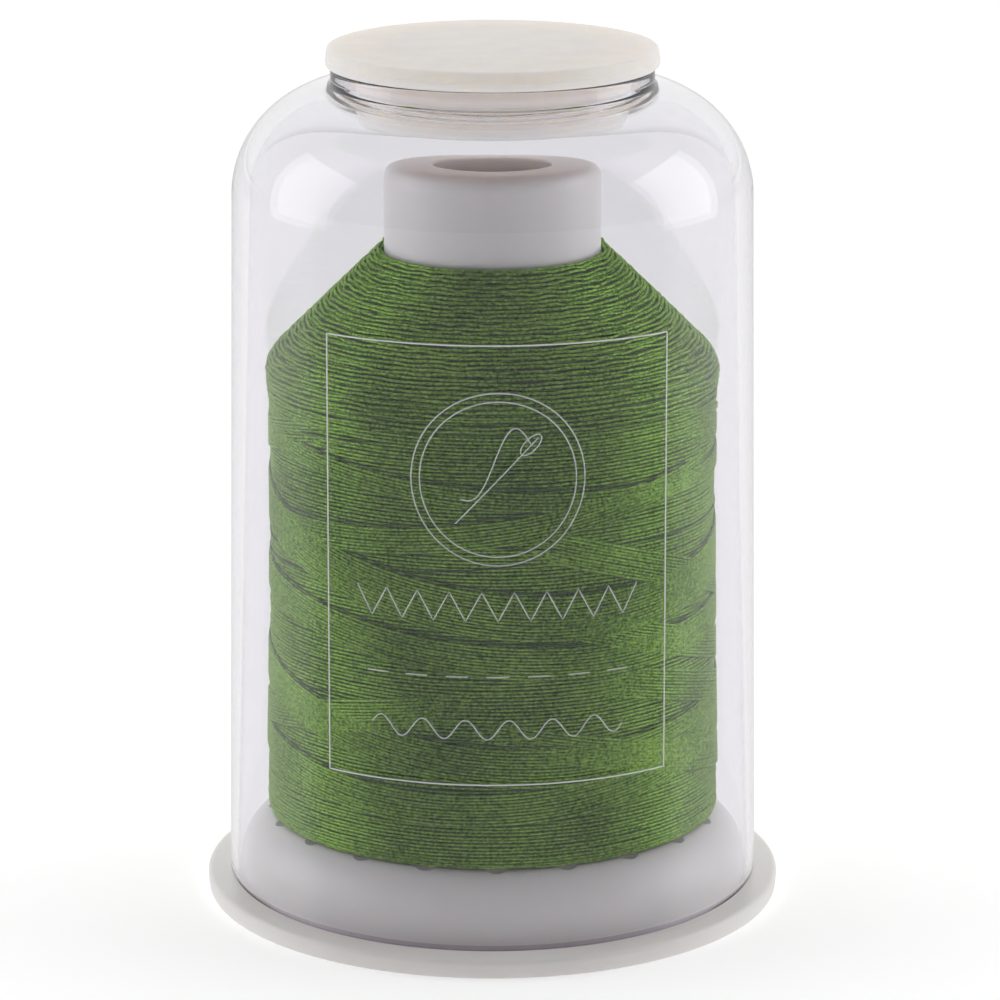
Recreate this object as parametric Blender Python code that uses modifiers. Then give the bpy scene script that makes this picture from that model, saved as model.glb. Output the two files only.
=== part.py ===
"""A spool of sewing thread under a clear cover, with a stopper in the cover's neck.

The spool is one white moulding: a flange that the cover stands on, a plinth that the
cover fits over, and a barrel that carries the winding. Metres, +Z up. The origin is the
middle of the underside, and every piece is turned about the Z axis.
"""
import math

import bpy

MM = 0.001
GAP = 0.3 * MM              # play between pieces that touch

# Driving dimensions
HEIGHT = 72.0 * MM          # floor to the top of the stopper
FLANGE_RADIUS = 24.34 * MM
FLANGE_HEIGHT = 1.55 * MM
PLINTH_RADIUS = 21.0 * MM
DECK_HEIGHT = 7.5 * MM      # the winding stands on the deck
BARREL_HEIGHT = 62.7 * MM
BARREL_FOOT = 9.1 * MM      # barrel radius at the deck
BARREL_HEAD = 8.94 * MM     # and at its rounded top
BORE_RADIUS = 4.8 * MM      # hole for a spool pin
WINDING_RADIUS = 18.45 * MM   # at its waist
COVER_FOOT = 22.4 * MM      # outer radius of the cover where it stands
COVER_WALL = 1.1 * MM       # at the foot
COVER_CROWN = 1.5 * MM      # and in the shoulder
COVER_TOP = 59.8 * MM       # height where the wall turns into the shoulder
NECK_RADIUS = 13.3 * MM
NECK_WALL = 1.0 * MM
LID_RADIUS = 13.72 * MM
LID_THICKNESS = 1.6 * MM
PLUG_RADIUS = 11.0 * MM
PLUG_DEPTH = 4.4 * MM       # below the lid

# Moulding details
SPOOL_WALL = 1.2 * MM
HUB_WALL = 1.0 * MM
FOOT_RECESS = 0.6 * MM      # ribs and hub end this far above the floor
PLINTH_SHOULDER = 4.05 * MM
SHOULDER_CENTRE = (PLINTH_RADIUS - 0.05 * MM - PLINTH_SHOULDER, 3.7 * MM)
HOLE_COUNT = 20
HOLE_RADIUS = 1.0 * MM
HOLE_CIRCLE = 17.8 * MM
FIRST_HOLE = math.radians(-89)  # one hole is just right of the front
RIB_THICKNESS = 0.9 * MM
BARREL_RIBS = 4

SIDES = 60                  # a whole number of sides between two holes


def arc(centre, radii, start, end, steps):
    """Points of an ellipse in the section plane, from one angle in degrees to another."""
    angles = [math.radians(start + (end - start) * i / steps) for i in range(steps + 1)]
    return [(centre[0] + radii[0] * math.cos(a), centre[1] + radii[1] * math.sin(a))
            for a in angles]


def material(name, colour, roughness, transmission=0.0):
    """A plastic or yarn finish on a Principled shader."""
    finish = bpy.data.materials.new(name)
    finish.use_nodes = True
    shader = finish.node_tree.nodes["Principled BSDF"]
    shader.inputs["Base Color"].default_value = (*colour, 1.0)
    shader.inputs["Roughness"].default_value = roughness
    shader.inputs["Metallic"].default_value = 0.0
    shader.inputs["Transmission Weight"].default_value = transmission
    return finish


def turned(name, section, collection, finish=None, closed=True):
    """A section of (radius, height) points, spun about Z. It runs down the outer side."""
    mesh = bpy.data.meshes.new(name)
    edges = [(i, i + 1) for i in range(len(section) - 1)]
    if closed:
        edges.append((len(section) - 1, 0))
    mesh.from_pydata([(r, 0.0, z) for r, z in section], edges, [])
    piece = bpy.data.objects.new(name, mesh)
    collection.objects.link(piece)
    turn = piece.modifiers.new("Turn", "SCREW")
    turn.steps = turn.render_steps = SIDES
    turn.use_merge_vertices = True
    turn.merge_threshold = 0.00001
    turn.use_smooth_shade = True
    if finish:
        piece.data.materials.append(finish)
    return piece


def cutter(piece):
    """Shows a tool of a Boolean as wires only."""
    piece.hide_render = True
    piece.display_type = "WIRE"
    return piece


def combine(piece, tool, operation):
    """Cuts a tool out of a piece, or joins it on."""
    step = piece.modifiers.new(tool.name, "BOOLEAN")
    step.operation = operation
    step.object = tool


def even_shading(piece):
    """Keeps flat faces looking flat beside small rounded edges."""
    piece.modifiers.new("Even shading", "WEIGHTED_NORMAL")


def shoulder_arc(depth, steps):
    """The plinth's rounded shoulder, or a line that far below its skin, from the deck down."""
    radius = PLINTH_SHOULDER - depth
    rise = DECK_HEIGHT - depth - SHOULDER_CENTRE[1]
    crest = math.degrees(math.asin(rise / radius))
    return arc(SHOULDER_CENTRE, (radius, radius), crest, 0, steps)


def spool_section():
    """Half the section of the spool: barrel, hub, plinth and flange in one wall."""
    edge, lip = 1.5 * MM, 0.5 * MM
    deck_under = DECK_HEIGHT - SPOOL_WALL
    hub = BORE_RADIUS + HUB_WALL

    points = arc((BARREL_HEAD - edge, BARREL_HEIGHT - edge), (edge, edge), 90, 0, 5)
    points += [(BARREL_FOOT, DECK_HEIGHT)]
    points += shoulder_arc(0.0, 6)
    points += [(PLINTH_RADIUS, FLANGE_HEIGHT)]
    points += arc((FLANGE_RADIUS - 0.4 * MM, FLANGE_HEIGHT - 0.4 * MM),
                  (0.4 * MM, 0.4 * MM), 90, 0, 3)
    points += [(FLANGE_RADIUS - 0.12 * MM, 0.2 * MM), (FLANGE_RADIUS - 0.3 * MM, 0.0)]
    points += [(PLINTH_RADIUS - SPOOL_WALL + 0.1 * MM, 0.0)]
    points += reversed(shoulder_arc(SPOOL_WALL, 4))
    points += [(BARREL_FOOT, deck_under), (BARREL_FOOT, FOOT_RECESS)]
    points += [(BARREL_FOOT - SPOOL_WALL, FOOT_RECESS)]
    points += [(BARREL_HEAD - SPOOL_WALL, BARREL_HEIGHT - 1.4 * MM)]
    points += [(hub, BARREL_HEIGHT - 1.4 * MM), (hub + 0.1 * MM, FOOT_RECESS)]
    points += [(BORE_RADIUS + lip, FOOT_RECESS), (BORE_RADIUS, FOOT_RECESS + lip)]
    points += arc((BORE_RADIUS + lip, BARREL_HEIGHT - lip), (lip, lip), 180, 90, 3)
    return points


def ring_of_pins(collection):
    """Twenty short pins that make the ring of holes in the deck."""
    pins = []
    for i in range(HOLE_COUNT):
        angle = FIRST_HOLE + math.tau * i / HOLE_COUNT
        place = (HOLE_CIRCLE * math.cos(angle), HOLE_CIRCLE * math.sin(angle), DECK_HEIGHT)
        bpy.ops.mesh.primitive_cylinder_add(vertices=12, radius=HOLE_RADIUS,
                                            depth=4 * MM, location=place)
        pins.append(bpy.context.object)
    return join("hole pins", pins, collection)


def rib(outline, angle, collection):
    """A flat rib that stands on a radius of the spool. Its outline is (radius, height)."""
    mesh = bpy.data.meshes.new("rib")
    mesh.from_pydata([(r, 0.0, z) for r, z in outline], [], [range(len(outline))])
    plate = bpy.data.objects.new("rib", mesh)
    collection.objects.link(plate)
    thickness = plate.modifiers.new("Thickness", "SOLIDIFY")
    thickness.thickness = RIB_THICKNESS
    thickness.offset = 0.0
    plate.rotation_euler.z = angle
    bpy.ops.object.select_all(action="DESELECT")
    plate.select_set(True)
    bpy.context.view_layer.objects.active = plate
    bpy.ops.object.convert(target="MESH")
    bpy.ops.object.transform_apply(location=False, rotation=True, scale=False)
    return plate


def spool_ribs(collection):
    """Ribs under the deck, between the holes, and the four ribs that hold the hub."""
    middle = SPOOL_WALL / 2
    foot, deck = BARREL_FOOT - middle, DECK_HEIGHT - middle
    bend = shoulder_arc(middle, 2)
    deck_rib = [(foot, deck)] + bend + [(bend[-1][0], FOOT_RECESS), (foot, FOOT_RECESS)]
    inner, outer = BORE_RADIUS + HUB_WALL / 2, BARREL_HEAD - middle
    low, high = FOOT_RECESS + 0.4 * MM, BARREL_HEIGHT - 1.0 * MM
    hub_rib = [(inner, high), (outer, high), (outer, low), (inner, low)]
    plates = [rib(deck_rib, FIRST_HOLE + math.tau * (i + 0.5) / HOLE_COUNT, collection)
              for i in range(HOLE_COUNT)]
    plates += [rib(hub_rib, math.tau * (i + 0.5) / BARREL_RIBS, collection)
               for i in range(BARREL_RIBS)]
    return join("ribs", plates, collection)


def join(name, pieces, collection):
    """Makes one object of several separate solids, as a tool for a Boolean."""
    bpy.ops.object.select_all(action="DESELECT")
    for piece in pieces:
        piece.select_set(True)
    bpy.context.view_layer.objects.active = pieces[0]
    bpy.ops.object.join()
    joined = pieces[0]
    joined.name = name
    for home in list(joined.users_collection):
        home.objects.unlink(joined)
    collection.objects.link(joined)
    return cutter(joined)


def make_spool(parts, cutters):
    finish = material("white_polypropylene", (0.85, 0.84, 0.83), 0.35)
    spool = turned("spool", spool_section(), parts, finish)
    combine(spool, spool_ribs(cutters), "UNION")
    combine(spool, ring_of_pins(cutters), "DIFFERENCE")
    even_shading(spool)
    return spool


def winding_section():
    """The cross-wound thread: straight taper, round knuckle, slightly waisted body."""
    inside = BARREL_FOOT + GAP
    bottom = DECK_HEIGHT + GAP
    knuckle, foot = 1.8 * MM, (0.4 * MM, 1.2 * MM)
    points = [(inside, 55.5 * MM)]
    points += arc((WINDING_RADIUS + 0.35 * MM - knuckle, 46.1 * MM), (knuckle, knuckle), 50, 0, 4)
    points += [(WINDING_RADIUS, 38.0 * MM), (WINDING_RADIUS + 0.1 * MM, 22.0 * MM)]
    points += arc((WINDING_RADIUS + 0.35 * MM - foot[0], bottom + foot[1]), foot, 0, -90, 3)
    points += [(inside, bottom)]
    return points


def make_winding(parts):
    finish = material("green_polyester_thread", (0.10, 0.20, 0.05), 0.6)
    winding = turned("winding", winding_section(), parts, finish)
    even_shading(winding)
    return winding


def cover_section():
    """A clear shell: short neck, round shoulder, and a wall that thins to its wide foot."""
    seat = FLANGE_HEIGHT + GAP
    wall_top = COVER_FOOT - 0.92 * MM
    shoulder = (9.7 * MM, 9.25 * MM)
    centre = (wall_top - shoulder[0], COVER_TOP)
    neck_top = HEIGHT - LID_THICKNESS - GAP
    neck_bore = NECK_RADIUS - NECK_WALL
    inner = (shoulder[0] - COVER_CROWN, shoulder[1] - COVER_CROWN)
    hollow = 0.4 * MM
    outer_meet = math.degrees(math.acos((NECK_RADIUS + hollow - centre[0]) / shoulder[0]))
    inner_meet = math.degrees(math.acos((neck_bore - centre[0]) / inner[0]))
    rim = 0.3 * MM

    points = arc((NECK_RADIUS - rim, neck_top - rim), (rim, rim), 90, 0, 2)
    brow = arc(centre, shoulder, outer_meet, 0, 9)
    points += arc((brow[0][0], brow[0][1] + hollow), (hollow, hollow), 180, 255, 3)
    points += brow
    points += arc((COVER_FOOT - rim, seat + rim), (rim, rim), 0, -90, 2)
    points += arc((COVER_FOOT - COVER_WALL + rim, seat + rim), (rim, rim), -90, -180, 2)
    points += arc(centre, inner, 0, inner_meet, 9)
    points += arc((neck_bore + rim, neck_top - rim), (rim, rim), 180, 90, 2)
    return points


def make_cover(parts):
    finish = material("clear_polystyrene", (0.97, 0.97, 0.98), 0.05, transmission=1.0)
    cover = turned("cover", cover_section(), parts, finish)
    even_shading(cover)
    return cover


def stopper_section():
    """A flat lid on a hollow plug, with a bead that grips the neck just below the lid."""
    under = HEIGHT - LID_THICKNESS
    bottom = under - PLUG_DEPTH
    bead = NECK_RADIUS - NECK_WALL - GAP
    wall = 1.4 * MM
    edge = 0.35 * MM
    points = [(0.0, HEIGHT)]
    points += arc((LID_RADIUS - 0.12 * MM - edge, HEIGHT - edge), (edge, edge), 90, 0, 3)
    points += [(LID_RADIUS, under + 0.5 * MM)]
    points += arc((LID_RADIUS - edge, under + edge), (edge, edge), 0, -90, 2)
    points += [(PLUG_RADIUS + 0.2 * MM, under), (bead, under - 0.7 * MM)]
    points += [(bead, under - 1.2 * MM), (PLUG_RADIUS, under - 2.0 * MM)]
    points += arc((PLUG_RADIUS - 1.0 * MM, bottom + 0.7 * MM), (0.9 * MM, 0.7 * MM), 0, -90, 3)
    points += [(PLUG_RADIUS - wall, bottom), (PLUG_RADIUS - wall - 0.3 * MM, bottom + 0.3 * MM)]
    points += [(PLUG_RADIUS - wall - 0.5 * MM, under - 0.5 * MM)]
    points += [(PLUG_RADIUS - wall - 1.0 * MM, under), (0.0, under)]
    return points


def make_stopper(parts):
    finish = material("frosted_silicone", (0.74, 0.70, 0.66), 0.45)
    stopper = turned("stopper", stopper_section(), parts, finish, closed=False)
    even_shading(stopper)
    return stopper


def collection_named(name):
    group = bpy.data.collections.new(name)
    bpy.context.scene.collection.children.link(group)
    return group


def main():
    for old in list(bpy.data.objects):
        bpy.data.objects.remove(old, do_unlink=True)
    parts = collection_named("spool of thread")
    cutters = collection_named("cutters")
    spool = make_spool(parts, cutters)
    winding = make_winding(parts)
    cover = make_cover(parts)
    stopper = make_stopper(parts)
    winding.parent = spool
    cover.parent = spool
    stopper.parent = cover


main()
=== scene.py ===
# %% [markdown]
# # A spool of embroidery thread under a clear cover
#
# This lesson dresses a working model of a thread spool. The model arrives as a fixed
# frame: a moulded spool, a solid that stands for the thread, a clear cover and a soft
# stopper. Each of them is made again here with the surface that the eye expects, and
# rides on the body that it belongs to, so that the cover still lifts and the stopper
# still pulls out.

# %% Load the frame
import math
import random

import bmesh
import bpy
from mathutils import Matrix, Vector, noise


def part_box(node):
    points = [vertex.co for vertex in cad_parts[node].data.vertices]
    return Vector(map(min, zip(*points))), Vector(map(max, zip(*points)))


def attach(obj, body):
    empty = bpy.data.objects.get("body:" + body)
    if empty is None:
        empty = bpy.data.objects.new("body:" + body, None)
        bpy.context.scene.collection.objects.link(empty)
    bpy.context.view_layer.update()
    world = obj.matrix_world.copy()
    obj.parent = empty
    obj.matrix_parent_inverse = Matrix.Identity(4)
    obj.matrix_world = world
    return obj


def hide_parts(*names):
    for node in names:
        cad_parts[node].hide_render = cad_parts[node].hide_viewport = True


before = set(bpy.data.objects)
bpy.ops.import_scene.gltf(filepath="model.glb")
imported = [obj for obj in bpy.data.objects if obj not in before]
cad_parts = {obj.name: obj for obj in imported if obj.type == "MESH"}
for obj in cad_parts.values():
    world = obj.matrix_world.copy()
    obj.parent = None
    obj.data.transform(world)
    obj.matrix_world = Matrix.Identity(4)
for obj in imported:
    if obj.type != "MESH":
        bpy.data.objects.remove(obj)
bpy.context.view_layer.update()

MM = 0.001

# %% [markdown]
# ## Two small helpers for materials
#
# Colours are written as the hex values that a designer would read from a chart. Blender
# works with linear light, so one function turns them. A second one adds a shader node,
# sets its values and links its inputs, which keeps a material readable from top to bottom.

# %% Colour and node helpers
def linear(hex_colour):
    """An sRGB hex colour, such as 'ffcc00', as linear red, green, blue and alpha."""
    channels = [int(hex_colour[i:i + 2], 16) / 255 for i in (0, 2, 4)]
    return [c / 12.92 if c <= 0.04045 else ((c + 0.055) / 1.055) ** 2.4 for c in channels] + [1.0]


def add_node(tree, kind, values=(), links=(), **settings):
    """Adds a node. values and links go from an input's name to a value or an output."""
    made = tree.nodes.new(kind)
    for name, value in settings.items():
        setattr(made, name, value)
    for name, value in dict(values).items():
        made.inputs[name].default_value = value
    for name, output in dict(links).items():
        tree.links.new(output, made.inputs[name])
    return made


def new_material(name):
    """An empty node material and its output node."""
    finish = bpy.data.materials.new(name)
    finish.use_nodes = True
    finish.node_tree.nodes.clear()
    return finish, finish.node_tree, finish.node_tree.nodes.new("ShaderNodeOutputMaterial")


# %% [markdown]
# ## The camera
#
# The object is seen from the front and a little above, through a long lens, so that the
# circles look like slim ellipses and the sides stay nearly parallel. The distance, the
# height and the tilt belong together: the camera looks at a point on the spool's axis.

# %% Camera
def make_camera():
    tilt = math.radians(15.1)
    distance = 374.8 * MM
    aim = Vector((0, 0, 33.5 * MM))
    data = bpy.data.cameras.new("camera")
    data.lens, data.sensor_width = 160.8, 36
    data.shift_x = 0.0075
    camera = bpy.data.objects.new("camera", data)
    bpy.context.scene.collection.objects.link(camera)
    back = Vector((0, -math.cos(tilt), math.sin(tilt)))
    camera.location = aim + back * distance
    camera.rotation_euler = (math.pi / 2 - tilt, 0, 0)
    bpy.context.scene.camera = camera
    print("camera:", round(distance / MM), "mm away, tilted", round(math.degrees(tilt), 1), "degrees")


make_camera()

# %% [markdown]
# ## The studio
#
# Clear plastic shows nothing but what is around it, so the room matters more than the
# plastic. The room here is a pale tent: bright from above, from the sides and from
# behind, and dim at the front, where a photographer stands. The dim front gives the clear
# wall its thin dark edges, and gives the white barrel and the thread a darker middle.
#
# The dim front has three tones, which no real room has. Reflections see the darkest one,
# rays that have come through the clear plastic see a pale violet grey, and all the others
# see a middle grey. This stage trick lets each of the three be set without the others.

# %% Floor, world and lamps
def make_floor():
    form = bmesh.new()
    bmesh.ops.create_grid(form, x_segments=1, y_segments=1, size=3.0)
    mesh = bpy.data.meshes.new("floor")
    form.to_mesh(mesh)
    form.free()
    floor = bpy.data.objects.new("floor", mesh)
    bpy.context.scene.collection.objects.link(floor)
    finish, tree, out = new_material("pale studio paper")
    paper = add_node(tree, "ShaderNodeBsdfPrincipled", {
        "Base Color": linear("f6f6f6"), "Roughness": 0.9, "Specular IOR Level": 0.1,
        "Emission Color": linear("ffffff"), "Emission Strength": 0.40})
    tree.links.new(paper.outputs[0], out.inputs["Surface"])
    mesh.materials.append(finish)
    floor.visible_glossy = False        # the clear wall mirrors the tent, not the paper


def make_world():
    """Bright all round, but for a dim place in front, whose tone depends on the ray."""
    world = bpy.data.worlds.new("light tent")
    world.use_nodes = True
    tree = world.node_tree
    tree.nodes.clear()
    towards = add_node(tree, "ShaderNodeTexCoord")
    parts = add_node(tree, "ShaderNodeSeparateXYZ", links={"Vector": towards.outputs["Generated"]})
    front = add_node(tree, "ShaderNodeMapRange", {"From Min": 0.05, "From Max": -0.25},
                     {"Value": parts.outputs["Y"]}, interpolation_type="SMOOTHSTEP")
    height = add_node(tree, "ShaderNodeMath", links={0: parts.outputs["Z"]}, operation="ABSOLUTE")
    level = add_node(tree, "ShaderNodeMapRange", {"From Min": 1.0, "From Max": 0.9},
                     {"Value": height.outputs[0]}, interpolation_type="SMOOTHSTEP")
    dim = add_node(tree, "ShaderNodeMath", links={0: front.outputs[0], 1: level.outputs[0]},
                   operation="MULTIPLY")
    below = add_node(tree, "ShaderNodeMapRange", {"From Min": -0.02, "From Max": 0.02},
                     {"Value": parts.outputs["Z"]})
    bright = add_node(tree, "ShaderNodeMix", {"A": linear("dedcdc"), "B": linear("ffffff")},
                      {"Factor": below.outputs[0]}, data_type="RGBA")
    ray = add_node(tree, "ShaderNodeLightPath")
    reflected = add_node(tree, "ShaderNodeMix", {"A": linear("646165"), "B": linear("232224")},
                         {"Factor": ray.outputs["Is Glossy Ray"]}, data_type="RGBA")
    front_colour = add_node(tree, "ShaderNodeMix", {"B": linear("a39daa")},
                            {"Factor": ray.outputs["Is Transmission Ray"],
                             "A": reflected.outputs["Result"]}, data_type="RGBA")
    colour = add_node(tree, "ShaderNodeMix", data_type="RGBA", links={
        "Factor": dim.outputs[0], "A": bright.outputs["Result"],
        "B": front_colour.outputs["Result"]})
    light = add_node(tree, "ShaderNodeBackground", {"Strength": 1.0},
                     {"Color": colour.outputs["Result"]})
    tree.links.new(light.outputs[0], add_node(tree, "ShaderNodeOutputWorld").inputs["Surface"])
    bpy.context.scene.world = world


def area_light(name, place, size, power):
    """A soft box that faces the middle of the spool."""
    data = bpy.data.lights.new(name, "AREA")
    data.shape, data.size, data.size_y = "RECTANGLE", *size
    data.energy = power
    lamp = bpy.data.objects.new(name, data)
    bpy.context.scene.collection.objects.link(lamp)
    lamp.location = place
    aim = Vector((0, 0, 0.035)) - lamp.location
    lamp.rotation_euler = aim.to_track_quat("-Z", "Y").to_euler()
    print(name, "at", [round(v, 2) for v in place], "m")


make_floor()
make_world()
area_light("left soft box", (-0.42, 0.02, 0.16), (0.30, 0.36), 0.34)
area_light("right soft box", (0.42, 0.04, 0.16), (0.30, 0.36), 0.38)
bpy.context.scene.view_settings.view_transform = "Standard"

# %% [markdown]
# ## Turned pieces
#
# Every piece here is round, so each one is a section spun about the Z axis. A section is
# a short list of corners, and each corner has its own rounding, as on a drawing. One
# helper swaps a corner for a small curve, and another spins the section with bmesh.

# %% Section helpers
SHARP = math.radians(40)     # edges sharper than this stay crisp


def rounded(corners, steps=5):
    """Swaps each (radius, height, rounding) corner of a closed section for a curve."""
    points = []
    for i, (r, z, rounding) in enumerate(corners):
        here = Vector((r, z))
        if rounding == 0:
            points.append(here)
            continue
        before = Vector(corners[i - 1][:2]) - here
        after = Vector(corners[(i + 1) % len(corners)][:2]) - here
        half = before.angle(after) / 2
        reach = min(rounding / math.tan(half), before.length * 0.49, after.length * 0.49)
        start, end = here + before.normalized() * reach, here + after.normalized() * reach
        for k in range(steps + 1):
            t = k / steps
            points.append(start * (1 - t) ** 2 + here * (2 * t * (1 - t)) + end * t ** 2)
    return points


def arc(centre, radii, start, end, steps):
    """Points of an ellipse in the section, from one angle in degrees to another."""
    angles = [math.radians(start + (end - start) * i / steps) for i in range(steps + 1)]
    return [Vector((centre[0] + radii[0] * math.cos(a), centre[1] + radii[1] * math.sin(a)))
            for a in angles]


def spin(name, section, turns=192, closed=True):
    """Spins a section of (radius, height) points about Z into a closed solid."""
    form = bmesh.new()
    rim = [form.verts.new((p[0], 0, p[1])) for p in section]
    pairs = list(zip(rim, rim[1:])) + ([(rim[-1], rim[0])] if closed else [])
    edges = [form.edges.new(pair) for pair in pairs]
    bmesh.ops.spin(form, geom=rim + edges, cent=(0, 0, 0), axis=(0, 0, 1),
                   angle=math.tau, steps=turns, use_merge=True)
    bmesh.ops.remove_doubles(form, verts=form.verts, dist=0.000002)
    bmesh.ops.recalc_face_normals(form, faces=form.faces)
    return to_object(name, form)


def to_object(name, form):
    """Ends a bmesh as an object with smooth sides and crisp corners."""
    mesh = bpy.data.meshes.new(name)
    form.to_mesh(mesh)
    form.free()
    mesh.shade_smooth()
    mesh.set_sharp_from_angle(angle=SHARP)
    piece = bpy.data.objects.new(name, mesh)
    bpy.context.scene.collection.objects.link(piece)
    return piece


def bake_modifiers(piece):
    """Swaps a piece's mesh for what its modifiers make of it."""
    shown = piece.evaluated_get(bpy.context.evaluated_depsgraph_get())
    mesh = bpy.data.meshes.new_from_object(shown)
    piece.modifiers.clear()
    old, piece.data = piece.data, mesh
    bpy.data.meshes.remove(old)
    mesh.shade_smooth()
    mesh.set_sharp_from_angle(angle=SHARP)
    return piece


# %% [markdown]
# ## The white spool
#
# The spool is one polypropylene moulding. Its section runs down the barrel, over the
# deck and the rounded plinth, and out to the flange, then back up inside as a thin wall.
# Its heights and its widest radius come from the frame, so that the new skin lies on the
# old solid. The other sizes are named below.

# %% Spool section
spool_low, spool_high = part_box("spool")
winding_low, winding_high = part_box("winding")
cover_low, cover_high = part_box("cover")
stopper_low, stopper_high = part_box("stopper")

PLAY = 0.3 * MM             # the frame leaves this between pieces that touch
FLANGE_R = spool_high.x
FLANGE_Z = cover_low.z - PLAY
DECK_Z = winding_low.z - PLAY
BARREL_TOP = spool_high.z
BARREL_R = 8.94 * MM
BARREL_FOOT_R = 9.1 * MM
BORE_R = 4.8 * MM
PLINTH_R = 21.0 * MM
WALL = 1.2 * MM
FOOT_RECESS = 0.6 * MM
HOLES = 20                  # and as many ribs below the deck, half a step round
HUB_RIBS = 4
HOLE_CIRCLE = 17.8 * MM
HOLE_R = 1.0 * MM
FIRST_HOLE = math.radians(-89)
SHOULDER_ARC = (PLINTH_R - 4.1 * MM, 3.7 * MM), 4.05 * MM      # centre and radius


def spool_section():
    centre, shoulder = SHOULDER_ARC
    crest = math.degrees(math.asin((DECK_Z - centre[1]) / shoulder))
    under = DECK_Z - WALL
    inner = shoulder - WALL
    inner_crest = math.degrees(math.asin((under - centre[1]) / inner))
    hub = BORE_R + 1.0 * MM
    return (
        rounded([(BORE_R, BARREL_TOP, 0.3 * MM), (BARREL_R, BARREL_TOP, 1.5 * MM),
                 (BARREL_FOOT_R, DECK_Z, 0)], 8)
        + arc(centre, (shoulder, shoulder), crest, 0, 16)
        + rounded([(PLINTH_R - 0.05 * MM, 3.0 * MM, 0), (PLINTH_R, FLANGE_Z, 0.15 * MM),
                   (FLANGE_R, FLANGE_Z, 0.45 * MM), (FLANGE_R - 0.13 * MM, 0, 0.2 * MM),
                   (PLINTH_R - WALL + 0.1 * MM, 0, 0.1 * MM),
                   (PLINTH_R - WALL - 0.05 * MM, 3.0 * MM, 0)], 6)[1:]
        + arc(centre, (inner, inner), 0, inner_crest, 10)
        + rounded([(15 * MM, under, 0), (BARREL_FOOT_R, under, 0.4 * MM),
                   (BARREL_FOOT_R, FOOT_RECESS, 0.15 * MM),
                   (BARREL_FOOT_R - WALL, FOOT_RECESS, 0.15 * MM),
                   (BARREL_R - WALL, BARREL_TOP - 1.4 * MM, 0.3 * MM),
                   (hub, BARREL_TOP - 1.4 * MM, 0.3 * MM),
                   (hub + 0.1 * MM, FOOT_RECESS, 0.1 * MM),
                   (BORE_R, FOOT_RECESS, 0.4 * MM), (BORE_R, 30 * MM, 0)], 4)[1:]
    )


# %% [markdown]
# The holes in the deck and the ribs below it come from Boolean modifiers. The deck's ribs
# are one tool, the hub's ribs a second and the pins a third, so three modifiers do it all.

# %% Spool
def ring_of(form_one, count, first):
    """Places copies of a small shape round the axis and returns them as one bmesh."""
    ring = bmesh.new()
    for i in range(count):
        form_one(ring, Matrix.Rotation(first + math.tau * i / count, 4, "Z"))
    return ring


def pin(form, turn):
    bmesh.ops.create_cone(form, cap_ends=True, segments=28, radius1=HOLE_R, radius2=HOLE_R,
                          depth=4 * MM,
                          matrix=turn @ Matrix.Translation((HOLE_CIRCLE, 0, DECK_Z)))


def rib(form, turn, outline):
    """A flat rib: an outline of (radius, height) corners, pulled to its thickness."""
    thick = 0.9 * MM
    corners = [form.verts.new(turn @ Vector((r, -thick / 2, z))) for r, z in outline]
    face = form.faces.new(corners)
    pulled = bmesh.ops.extrude_face_region(form, geom=[face])["geom"]
    moved = [v for v in pulled if isinstance(v, bmesh.types.BMVert)]
    bmesh.ops.translate(form, verts=moved, vec=turn @ Vector((0, thick, 0)))
    bmesh.ops.recalc_face_normals(form, faces=form.faces)


def deck_rib(form, turn):
    """Follows the middle of the plinth's wall, so that nothing shows outside."""
    centre, reach = SHOULDER_ARC
    mid = reach - WALL / 2
    crest = math.degrees(math.asin((DECK_Z - WALL / 2 - centre[1]) / mid))
    inner = BARREL_FOOT_R - 0.4 * MM
    rib(form, turn, [(inner, FOOT_RECESS), (centre[0] + mid, FOOT_RECESS)]
        + [tuple(p) for p in arc(centre, (mid, mid), 0, crest, 8)]
        + [(inner, DECK_Z - WALL / 2)])


def hub_rib(form, turn):
    inner, outer, low, high = BORE_R + 0.5 * MM, BARREL_R - WALL / 2, 1.0 * MM, BARREL_TOP - 1.0 * MM
    rib(form, turn, [(inner, low), (outer, low), (outer, high), (inner, high)])


def boolean(piece, tool, operation):
    step = piece.modifiers.new(tool.name, "BOOLEAN")
    step.operation, step.object = operation, tool


def make_spool():
    spool = spin("moulded_spool", spool_section())
    half = math.pi / HOLES
    tools = [to_object("deck ribs", ring_of(deck_rib, HOLES, FIRST_HOLE + half)),
             to_object("hub ribs", ring_of(hub_rib, HUB_RIBS, math.radians(45))),
             to_object("pins", ring_of(pin, HOLES, FIRST_HOLE))]
    for tool, operation in zip(tools, ("UNION", "UNION", "DIFFERENCE")):
        boolean(spool, tool, operation)
    bake_modifiers(spool)
    for tool in tools:
        bpy.data.objects.remove(tool)
    print("spool:", len(spool.data.polygons), "faces")
    return spool


# %% [markdown]
# ## White polypropylene
#
# Moulded polypropylene is waxy: light goes a little way in, and the skin has a soft gloss.
# The mould is polished but not perfect, so a very shallow bump, less than a millimetre
# across, keeps the reflections from looking like glass.

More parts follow.
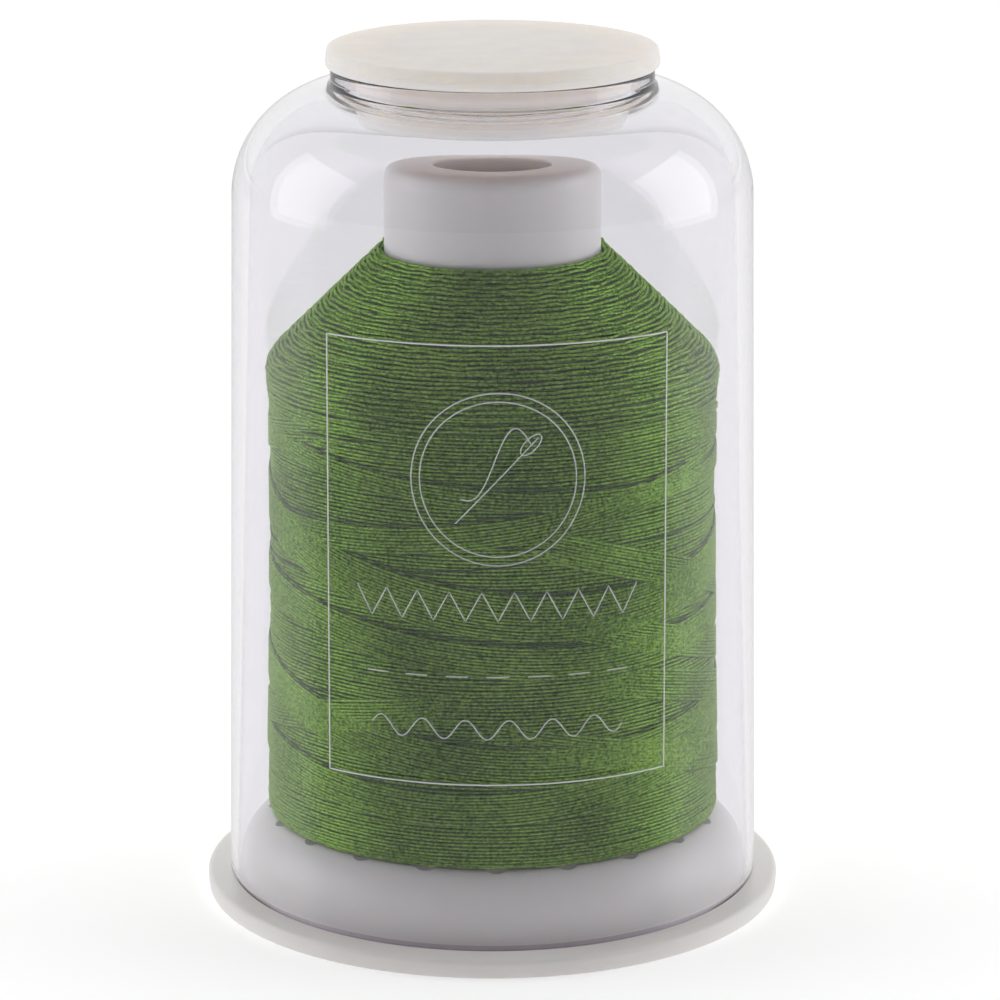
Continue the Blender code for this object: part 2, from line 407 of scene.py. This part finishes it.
# %% White plastic
def white_polypropylene():
    finish, tree, out = new_material("white polypropylene")
    place = add_node(tree, "ShaderNodeTexCoord")
    flow = add_node(tree, "ShaderNodeTexNoise", {"Scale": 1 / (6 * MM), "Detail": 3.0},
                    {"Vector": place.outputs["Object"]})
    skin = add_node(tree, "ShaderNodeTexNoise", {"Scale": 1 / (0.7 * MM), "Detail": 2.0},
                    {"Vector": place.outputs["Object"]})
    colour = add_node(tree, "ShaderNodeMix", {"A": linear("ebe8e6"), "B": linear("f1efee")},
                      {"Factor": flow.outputs["Fac"]}, data_type="RGBA")
    rough = add_node(tree, "ShaderNodeMapRange", {"To Min": 0.26, "To Max": 0.36},
                     {"Value": flow.outputs["Fac"]})
    bump = add_node(tree, "ShaderNodeBump", {"Strength": 0.012, "Distance": 0.02 * MM},
                    {"Height": skin.outputs["Fac"]})
    shader = add_node(tree, "ShaderNodeBsdfPrincipled", {
        "IOR": 1.49, "Subsurface Weight": 0.4, "Subsurface Radius": (1.0, 0.88, 0.78),
        "Subsurface Scale": 1.5 * MM},
        {"Base Color": colour.outputs["Result"], "Roughness": rough.outputs[0],
         "Normal": bump.outputs[0]})
    tree.links.new(shader.outputs[0], out.inputs["Surface"])
    return finish


spool = make_spool()
spool.data.materials.clear()
spool.data.materials.append(white_polypropylene())
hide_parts("spool")
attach(spool, "spool")

# %% [markdown]
# ## The winding
#
# A thread package is built by a guide that runs up and down while the spool turns. Most
# turns lie almost level, side by side. Where the guide turned back, a band of turns lies
# tilted on top of the others, and leaves the slanting lines that make a package look wound
# and not printed. Each turn here is a real tube, because the light catches each one.
#
# First the outline: a list of points up the side of the package, and a function that
# gives the radius and the height at a distance along it.

# %% Package outline
THREAD_R = 0.15 * MM        # a 40-weight thread is about 0.3 mm thick where it lies loose


def package_outline():
    """Outer edge of the package from the deck to the barrel, as fine steps."""
    waist = winding_high.x - 0.35 * MM
    knuckle = 2.3 * MM
    bottom = DECK_Z + 0.02 * MM
    shape = [Vector((waist - 0.1 * MM, bottom))]
    shape += arc((waist - 0.05 * MM, bottom + 1.2 * MM), (0.4 * MM, 1.15 * MM), -75, 0, 8)
    shape += [Vector((waist + 0.14 * MM, 21 * MM)), Vector((waist, 34 * MM)),
              Vector((waist + 0.05 * MM, 42 * MM))]
    shape += arc((waist + 0.35 * MM - knuckle, 45.6 * MM), (knuckle, knuckle), 0, 49, 8)
    shape += [Vector((BARREL_R + 0.7 * MM, winding_high.z - 0.2 * MM)),
              Vector((BARREL_R + 0.1 * MM, winding_high.z - 0.05 * MM))]
    return shape


outline = package_outline()
lengths = [0.0]
for a, b in zip(outline, outline[1:]):
    lengths.append(lengths[-1] + (b - a).length)
OUTLINE_LENGTH = lengths[-1]


def on_outline(distance):
    """Point and outward normal of the package outline at a distance from its foot."""
    distance = min(max(distance, 0.0), OUTLINE_LENGTH - 1e-9)
    i = max(k for k in range(len(outline) - 1) if lengths[k] <= distance)
    along = (outline[i + 1] - outline[i]) / (lengths[i + 1] - lengths[i])
    point = outline[i] + along * (distance - lengths[i])
    return point, Vector((along.y, -along.x))


print("package outline:", round(OUTLINE_LENGTH / MM, 1), "mm")

# %% [markdown]
# A strand is a poly curve with a round bevel. Its path is worked out turn by turn: an
# angle, a distance along the outline, and a lift off the surface. A little smooth noise
# moves it, because no thread lies perfectly even.

# %% Strand helpers
STEPS = 110                 # points in one turn of thread


def place_on_package(angle, distance, lift):
    point, out = on_outline(distance)
    r = point.x + out.x * (lift - THREAD_R)
    z = point.y + out.y * (lift - THREAD_R)
    return (r * math.cos(angle), r * math.sin(angle), z)


def strands_to_mesh(name, paths, radius=THREAD_R):
    """Makes one mesh of many threads. Each path is a list of points."""
    curve = bpy.data.curves.new(name, "CURVE")
    curve.dimensions = "3D"
    curve.bevel_depth, curve.bevel_resolution = radius, 1
    curve.use_fill_caps = True
    for path in paths:
        spline = curve.splines.new("POLY")
        spline.points.add(len(path) - 1)
        flat = [value for point in path for value in (*point, 1.0)]
        spline.points.foreach_set("co", flat)
    holder = bpy.data.objects.new(name, curve)
    bpy.context.scene.collection.objects.link(holder)
    shown = holder.evaluated_get(bpy.context.evaluated_depsgraph_get())
    mesh = bpy.data.meshes.new_from_object(shown)
    bpy.data.objects.remove(holder)
    form = bmesh.new()
    form.from_mesh(mesh)
    bmesh.ops.remove_doubles(form, verts=form.verts, dist=0.000001)
    form.to_mesh(mesh)
    form.free()
    mesh.shade_smooth()
    piece = bpy.data.objects.new(name, mesh)
    bpy.context.scene.collection.objects.link(piece)
    print(name, len(mesh.polygons), "faces")
    return piece


def smooth_noise(angle, level, scale):
    """Noise from -1 to 1 that joins up round the spool."""
    return noise.noise((math.cos(angle) * scale, math.sin(angle) * scale, level))


# %% [markdown]
# The level turns come first. On the straight side they lie close, about three to the
# millimetre. On the taper the guide spreads them, so dark gaps show between them, and a
# second, deeper layer lies under them.

# %% Level turns
def level_turns(start, end, pitch, sway, lift, seed, waves):
    """One long helix along the outline. `sway` and `waves` say how far and how often it strays."""
    path = []
    distance, angle = start, 0.0
    step = math.tau / STEPS
    while distance < end:
        turn = distance / pitch
        wave = sway * smooth_noise(angle, turn * 0.9 + seed, waves)
        rise = 0.6 * THREAD_R * smooth_noise(angle, turn * 1.7 + seed + 40, waves * 1.5)
        path.append(place_on_package(angle, distance + wave, lift + rise))
        angle += step
        distance += pitch * step / math.tau
    return path


SIDE_END = 36.5 * MM        # distance along the outline where the close turns end
SIDE_PITCH = 0.30 * MM
TAPER_PITCH = 0.41 * MM
UNDER_PITCH = 0.33 * MM

side = strands_to_mesh("thread_side", [
    level_turns(0.0, SIDE_END, SIDE_PITCH, 0.06 * MM, 0.0, 3.0, 6.0)])
taper = strands_to_mesh("thread_taper", [
    level_turns(SIDE_END, OUTLINE_LENGTH - 0.1 * MM, TAPER_PITCH, 0.22 * MM, 0.02 * MM, 11.0, 9.0)])
under_taper = strands_to_mesh("thread_under_taper", [
    level_turns(SIDE_END - 1 * MM, OUTLINE_LENGTH, UNDER_PITCH, 0.10 * MM, -0.20 * MM, 23.0, 6.0)])

# %% [markdown]
# A tilted band is a bundle of loops that climb on one side of the package and fall on the
# other. Its strands start and end under the level turns, so no loose end shows.
#
# Light falls into the small gap beside a band and doesn't come back. A thin dark strand
# along the edge of the band is painted shade for that gap, and a few more of them lie on their own.

# %% Tilted bands
def tilted_band(middle, tilt, lowest, count, spread, turns, seed):
    """Loops that sink to `middle - tilt` at the angle `lowest` and rise opposite to it."""
    paths = []
    for i in range(count):
        path = []
        shift = (i - count / 2) * spread
        total = int(turns * STEPS)
        begin = lowest - math.pi * turns + 0.25 * smooth_noise(seed, i, 3.0)
        for k in range(total + 1):
            t = k / total
            angle = begin + math.tau * turns * t
            hide = min(1.0, 6.0 * t, 6.0 * (1 - t))
            lift = -0.30 * MM + 0.46 * MM * hide * hide * (3 - 2 * hide)
            sway = 0.05 * MM * smooth_noise(angle, i * 0.8 + seed, 4.0)
            distance = middle - tilt * math.cos(angle - lowest) + shift + sway
            path.append(place_on_package(angle, distance, lift))
        paths.append(path)
    return paths


FRONT = math.radians(-90)
BAND_PITCH = 0.27 * MM      # between two strands of a band
GAP_R = 0.065 * MM
# Bands that show from the front: middle and tilt in mm, degrees round from the front of the
# place where the band is lowest, and the number of strands.
FRONT_BANDS = ((26.5, 5.2, 24, 14), (20.5, 3.0, 30, 10), (13.0, 4.2, 20, 12),
               (9.0, 3.6, -12, 10), (33.0, 2.2, 40, 6), (30.0, 3.0, -60, 8))

random.seed(7)
bands, gaps = [], []
for middle, tilt, turned_by, count in FRONT_BANDS:
    lowest, seed = FRONT + math.radians(turned_by), random.uniform(0, 50)
    bands += tilted_band(middle * MM, tilt * MM, lowest, count, BAND_PITCH, 0.9, seed)
    # a thin dark strand of painted shade along each edge of the band
    for edge in (-1, 1):
        side_of_band = (middle + edge * (0.135 * count + 0.12)) * MM
        gaps += tilted_band(side_of_band, tilt * MM, lowest, 1, 0, 0.86, seed)
for i in range(6):
    lowest, seed = FRONT + math.radians(random.uniform(120, 240)), random.uniform(0, 50)
    middle, tilt = random.uniform(8, 34) * MM, random.uniform(3, 6) * MM
    bands += tilted_band(middle, tilt, lowest, 10, BAND_PITCH, 0.85, seed)
    gaps += tilted_band(middle - 1.47 * MM, tilt, lowest, 1, 0, 0.82, seed)
for i in range(9):
    gaps += tilted_band(random.uniform(5, 36) * MM, random.uniform(0.6, 3) * MM,
                        math.radians(random.uniform(0, 360)), 1, 0, random.uniform(0.3, 0.8), i + 60)
bands = strands_to_mesh("thread_bands", bands)
# painted shade: thin dark strands laid where the gaps beside the bands fall in shade
gaps = strands_to_mesh("painted_gap_shade", gaps, radius=GAP_R)

# %% [markdown]
# Below the strands lies the rest of the package. It is a plain turned solid, a little
# smaller than the strands' own surface, and only its colour shows in the gaps. That colour
# is painted shade: darker than the thread's, because the thread down there lies in shade.

# %% Package core
# the core takes the darker thread colour, painted shade for the thread in the gaps
def make_core():
    inset = 1.6 * THREAD_R
    section = [on_outline(OUTLINE_LENGTH * i / 60) for i in range(61)]
    points = [point - out * inset for point, out in section]
    points[0].y = points[-1].y = 0
    outer = [Vector((p.x, max(p.y, DECK_Z + 0.1 * MM))) for p in points[1:-1]]
    inside = BARREL_FOOT_R + 0.05 * MM
    top = Vector((inside, outer[-1].y))
    return spin("thread_core", [Vector((inside, DECK_Z + 0.1 * MM))] + outer + [top], turns=96)


core = make_core()
print("core:", len(core.data.polygons), "faces")

# %% [markdown]
# ## Polyester embroidery thread
#
# The thread is two plies of bright filament twisted together. The twist is only hinted at
# here: noise about a quarter of a millimetre across changes the tone and raises a bump. The
# shader is mostly metallic, which polyester isn't. It stands for the satin gloss of the
# filament, whose highlights take the thread's own green.

# %% Thread
def embroidery_thread():
    finish, tree, out = new_material("polyester embroidery thread")
    place = add_node(tree, "ShaderNodeTexCoord")
    patch = add_node(tree, "ShaderNodeTexNoise", {"Scale": 1 / (8 * MM), "Detail": 2.0},
                     {"Vector": place.outputs["Object"]})
    fibre = add_node(tree, "ShaderNodeTexNoise", {"Scale": 1 / (0.26 * MM), "Detail": 3.0},
                     {"Vector": place.outputs["Object"]})
    tone = add_node(tree, "ShaderNodeMix", {"Factor": 0.72},
                    {"A": patch.outputs["Fac"], "B": fibre.outputs["Fac"]})
    ramp = add_node(tree, "ShaderNodeMapRange", {"From Min": 0.38, "From Max": 0.62},
                    {"Value": tone.outputs["Result"]})
    colour = add_node(tree, "ShaderNodeMix", {"A": linear("42661f"), "B": linear("8eb651")},
                      {"Factor": ramp.outputs[0]}, data_type="RGBA")
    bump = add_node(tree, "ShaderNodeBump", {"Strength": 0.9, "Distance": 0.06 * MM},
                    {"Height": fibre.outputs["Fac"]})
    shader = add_node(tree, "ShaderNodeBsdfPrincipled", {
        "Metallic": 0.88, "Roughness": 0.40, "IOR": 1.5, "Specular IOR Level": 0.4,
        "Specular Tint": linear("d8f0b0")},
        {"Base Color": colour.outputs["Result"], "Normal": bump.outputs[0]})
    tree.links.new(shader.outputs[0], out.inputs["Surface"])
    return finish


# Painted shade: the thread's green made darker, for the core and the gap strands that lie in shade.
def thread_painted_in_shade():
    finish, tree, out = new_material("thread painted in shade")
    place = add_node(tree, "ShaderNodeTexCoord")
    fibre = add_node(tree, "ShaderNodeTexNoise", {"Scale": 1 / (0.5 * MM), "Detail": 2.0},
                     {"Vector": place.outputs["Object"]})
    colour = add_node(tree, "ShaderNodeMix", {"A": linear("2c4520"), "B": linear("3f5f2a")},
                      {"Factor": fibre.outputs["Fac"]}, data_type="RGBA")
    shader = add_node(tree, "ShaderNodeBsdfPrincipled", {"Roughness": 0.8},
                      {"Base Color": colour.outputs["Result"]})
    tree.links.new(shader.outputs[0], out.inputs["Surface"])
    return finish


thread = embroidery_thread()
for strands in (side, taper, under_taper, bands):
    strands.data.materials.clear()
    strands.data.materials.append(thread)
in_shade = thread_painted_in_shade()
# the core and the gap strands take the painted-shade thread colour
for dark in (core, gaps):
    dark.data.materials.clear()
    dark.data.materials.append(in_shade)
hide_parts("winding")
for piece in (core, side, taper, under_taper, bands, gaps):
    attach(piece, "spool")

# %% [markdown]
# ## The clear cover
#
# The cover is an injection-moulded shell, a little over a millimetre thick. Its section
# has an outer and an inner skin, because clear plastic bends light at both of them. The
# foot is rounded, and the short neck meets the shoulder in a small hollow.
#
# Lamps and diffuse light pass straight through, so that the thread behind the wall is lit.
# The faces under the foot have a darker tint, painted shade that draws the fine dark line where it stands.

# %% Cover
WALL_CLEAR = 1.1 * MM       # at the foot
CROWN_CLEAR = 1.5 * MM      # in the shoulder
SEAT_Z = FLANGE_Z + 0.03 * MM       # a hair above the flange
COVER_FOOT_R = cover_high.x
COVER_WALL_TOP = 59.8 * MM
NECK_R = 13.3 * MM
NECK_WALL = 1.0 * MM
NECK_TOP = cover_high.z + 0.2 * MM
DRAFT = 0.92 * MM           # the wall is narrower by this at its top
SHOULDER = (9.7 * MM, 9.25 * MM)
SHOULDER_CENTRE = (COVER_FOOT_R - DRAFT - SHOULDER[0], COVER_WALL_TOP)


def cover_section():
    inner = (SHOULDER[0] - CROWN_CLEAR, SHOULDER[1] - CROWN_CLEAR)
    bore = NECK_R - NECK_WALL
    outer_end = math.degrees(math.acos((NECK_R - SHOULDER_CENTRE[0]) / SHOULDER[0]))
    inner_end = math.degrees(math.acos((bore - SHOULDER_CENTRE[0]) / inner[0]))
    outside = arc(SHOULDER_CENTRE, SHOULDER, outer_end, 0, 28)
    inside = arc(SHOULDER_CENTRE, inner, 0, inner_end, 28)
    corners = [(bore, NECK_TOP, 0.35 * MM), (NECK_R, NECK_TOP, 0.35 * MM),
               (outside[0].x, outside[0].y, 0.35 * MM)]
    corners += [(p.x, p.y, 0) for p in outside[2:]]
    corners += [(COVER_FOOT_R, SEAT_Z, 0.45 * MM), (COVER_FOOT_R - WALL_CLEAR, SEAT_Z, 0.45 * MM)]
    corners += [(p.x, p.y, 0) for p in inside[:-2]]
    corners += [(inside[-1].x, inside[-1].y, 0.3 * MM)]
    return rounded(corners, 8)


def clear_polystyrene(name, tint):
    """Clear plastic that lets lamps through, so that the thread behind it is lit."""
    finish, tree, out = new_material(name)
    path = add_node(tree, "ShaderNodeLightPath")
    glass = add_node(tree, "ShaderNodeBsdfPrincipled", {
        "Base Color": linear(tint), "Roughness": 0.015, "IOR": 1.52,
        "Transmission Weight": 1.0})
    open_air = add_node(tree, "ShaderNodeBsdfTransparent", {"Color": linear("fcfcfd")})
    diffuse = tree.nodes.new("ShaderNodeMixShader")
    tree.links.new(path.outputs["Is Diffuse Ray"], diffuse.inputs[0])
    tree.links.new(glass.outputs[0], diffuse.inputs[1])
    tree.links.new(open_air.outputs[0], diffuse.inputs[2])
    shadow = tree.nodes.new("ShaderNodeMixShader")
    tree.links.new(path.outputs["Is Shadow Ray"], shadow.inputs[0])
    tree.links.new(diffuse.outputs[0], shadow.inputs[1])
    tree.links.new(open_air.outputs[0], shadow.inputs[2])
    tree.links.new(shadow.outputs[0], out.inputs["Surface"])
    return finish


cover = spin("clear_cover", cover_section(), turns=256)
cover.data.materials.append(clear_polystyrene("clear polystyrene", "efeef1"))
cover.data.materials.append(clear_polystyrene("clear polystyrene at the foot", "beb5c4"))
# painted shade: the faces at the foot take the darker tint, for the dark line that light leaves in the
# thick clear foot
for face in cover.data.polygons:
    face.material_index = int(face.center.z < SEAT_Z + 0.3 * MM)
print("cover:", len(cover.data.polygons), "faces")
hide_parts("cover")
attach(cover, "cover")

# %% [markdown]
# ## The lines on the cover
#
# The mould leaves a thin raised frame on the front of the cover. The frame goes round a
# fifth of the wall. It holds a needle and thread in a double ring and, below them, three
# rows of stitches. Each line is a fine wire laid on the wall, half sunk into it. Its pale
# colour is a painted highlight, for the light that the clear ridge catches.

# %% Raised lines
LINE_R = 0.06 * MM
OFF_CENTRE = 0.45 * MM      # the mark sits a little to the right of the front
RING_Z = 41.0 * MM
ZIGZAG_Z = 30.6 * MM
RUNNING_Z = 24.8 * MM
WAVE_Z = 20.4 * MM


def wall_radius(z):
    """Outer radius of the cover's straight wall, which narrows a little towards its top."""
    share = (z - SEAT_Z) / (COVER_WALL_TOP - SEAT_Z)
    return COVER_FOOT_R - DRAFT * share


def on_wall(across, z):
    """A point on the wall: `across` is the distance round it from the front, in metres."""
    r = wall_radius(z)
    angle = FRONT + (across + OFF_CENTRE) / r
    return (r * math.cos(angle), r * math.sin(angle), z)


def line_on_wall(points, closed=False):
    """Fills a polyline of (across, height) with short steps so that it follows the wall."""
    ends = points + points[:1] if closed else points
    path = []
    for (x0, z0), (x1, z1) in zip(ends, ends[1:]):
        pieces = max(1, int(math.hypot(x1 - x0, z1 - z0) / (0.4 * MM)))
        path += [on_wall(x0 + (x1 - x0) * k / pieces, z0 + (z1 - z0) * k / pieces)
                 for k in range(pieces)]
    return path + [on_wall(*ends[-1])]


def ring_on_wall(centre_z, radius):
    angles = [math.radians(360 * k / 72) for k in range(73)]
    return [on_wall(radius * math.cos(a), centre_z + radius * math.sin(a)) for a in angles]


def frame_line():
    half = math.radians(38.1) * wall_radius(34 * MM)
    low, high = 15.8 * MM, 51.8 * MM
    return line_on_wall([(-half, low), (half, low), (half, high), (-half, high)], closed=True)


def needle_in_ring():
    """A double ring with a needle, the needle's eye and a loose thread."""
    needle = [(-3.4 * MM, RING_Z - 3.6 * MM), (3.2 * MM, RING_Z + 3.4 * MM)]
    eye_x, eye_z = 2.6 * MM, RING_Z + 2.8 * MM
    eye = []
    for k in range(25):
        turn = math.tau * k / 24
        along = 1.1 * MM * math.cos(turn) * 0.7
        aside = 0.35 * MM * math.sin(turn)
        eye.append(on_wall(eye_x + along + aside, eye_z + along - aside))
    tail = []
    for k in range(41):
        t = k / 40
        height = eye_z + 1.6 * MM * math.sin(math.tau * t) - 4.4 * MM * t * t
        tail.append(on_wall(eye_x - 5.6 * MM * t, height))
    return [ring_on_wall(RING_Z, 7.0 * MM), ring_on_wall(RING_Z, 6.3 * MM),
            line_on_wall(needle), eye, tail]


def stitches():
    """Three rows of stitches below the ring: a zigzag, a running stitch and a wave."""
    zigzag = [(k * 1.3 * MM, ZIGZAG_Z + (1.2 * MM if k % 2 else -1.2 * MM)) for k in range(-9, 10)]
    running = [[(k * 3.3 * MM - 0.9 * MM, RUNNING_Z), (k * 3.3 * MM + 0.9 * MM, RUNNING_Z)]
               for k in range(-3, 4)]
    wave = [(x * 0.2 * MM, WAVE_Z + 0.8 * MM * math.sin(x * 0.2 * math.tau / 3.5))
            for x in range(-52, 53)]
    return [line_on_wall(row) for row in [zigzag, *running, wave]]


def line_painted_highlight(name, strength):
    """A pale, partly see-through finish: a painted highlight for the light that a clear ridge catches."""
    finish, tree, out = new_material(name)
    shader = add_node(tree, "ShaderNodeBsdfPrincipled", {
        "Base Color": linear("f4f6f6"), "Roughness": 0.2, "IOR": 1.52, "Alpha": strength})
    tree.links.new(shader.outputs[0], out.inputs["Surface"])
    return finish


frame_ridge = strands_to_mesh("cover_frame_line", [frame_line()], radius=LINE_R)
motif = strands_to_mesh("cover_motif_lines", needle_in_ring() + stitches(), radius=LINE_R)
# strength: how strongly each line's painted highlight shows
for piece, strength in ((frame_ridge, 0.8), (motif, 0.42)):
    piece.data.materials.clear()
    piece.data.materials.append(line_painted_highlight("raised line, painted highlight, " + piece.name, strength))
    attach(piece, "cover")

# %% [markdown]
# ## The stopper
#
# The stopper is soft, milky silicone. The lid has a fine parting line round its edge,
# where two halves of the mould met, and the plug below it is hollow, with low sealing
# rings that press on the neck.

# %% Stopper
def stopper_section():
    top, bottom = stopper_high.z, stopper_low.z
    lid_r = stopper_high.x
    under = top - 1.6 * MM
    plug = 11.0 * MM
    wall = 1.4 * MM
    bead = NECK_R - NECK_WALL - 0.05 * MM
    corners = [
        (0, top, 0), (lid_r - 0.12 * MM, top, 0.4 * MM), (lid_r - 0.08 * MM, under + 0.75 * MM, 0.05 * MM),
        (lid_r, under + 0.68 * MM, 0.05 * MM), (lid_r - 0.03 * MM, under, 0.3 * MM),
        (plug + 0.4 * MM, under, 0.2 * MM), (bead, under - 0.7 * MM, 0.2 * MM),
        (bead, under - 1.2 * MM, 0.2 * MM), (plug + 0.05 * MM, under - 1.8 * MM, 0.2 * MM),
        (plug, under - 2.5 * MM, 0.1 * MM), (plug + 0.1 * MM, under - 2.65 * MM, 0.08 * MM),
        (plug - 0.05 * MM, under - 2.85 * MM, 0.1 * MM), (plug - 0.35 * MM, bottom, 0.8 * MM),
        (plug - wall, bottom, 0.25 * MM), (plug - wall - 0.4 * MM, under, 0.5 * MM), (0, under, 0)]
    return rounded(corners, 5)


def milky_silicone():
    finish, tree, out = new_material("milky silicone")
    place = add_node(tree, "ShaderNodeTexCoord")
    cloud = add_node(tree, "ShaderNodeTexNoise", {"Scale": 1 / (2.5 * MM), "Detail": 5.0},
                     {"Vector": place.outputs["Object"]})
    grain = add_node(tree, "ShaderNodeTexNoise", {"Scale": 1 / (0.4 * MM), "Detail": 2.0},
                     {"Vector": place.outputs["Object"]})
    colour = add_node(tree, "ShaderNodeMix", {"A": linear("f2e2db"), "B": linear("fff2ec")},
                      {"Factor": cloud.outputs["Fac"]}, data_type="RGBA")
    bump = add_node(tree, "ShaderNodeBump", {"Strength": 0.12, "Distance": 0.03 * MM},
                    {"Height": grain.outputs["Fac"]})
    shader = add_node(tree, "ShaderNodeBsdfPrincipled", {
        "Roughness": 0.45, "IOR": 1.41, "Subsurface Weight": 1.0,
        "Subsurface Radius": (1.0, 0.78, 0.54), "Subsurface Scale": 5.0 * MM},
        {"Base Color": colour.outputs["Result"], "Normal": bump.outputs[0]})
    tree.links.new(shader.outputs[0], out.inputs["Surface"])
    return finish


stopper = spin("silicone_stopper", stopper_section(), closed=False)
stopper.data.materials.append(milky_silicone())
print("stopper:", len(stopper.data.polygons), "faces")
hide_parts("stopper")
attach(stopper, "stopper")
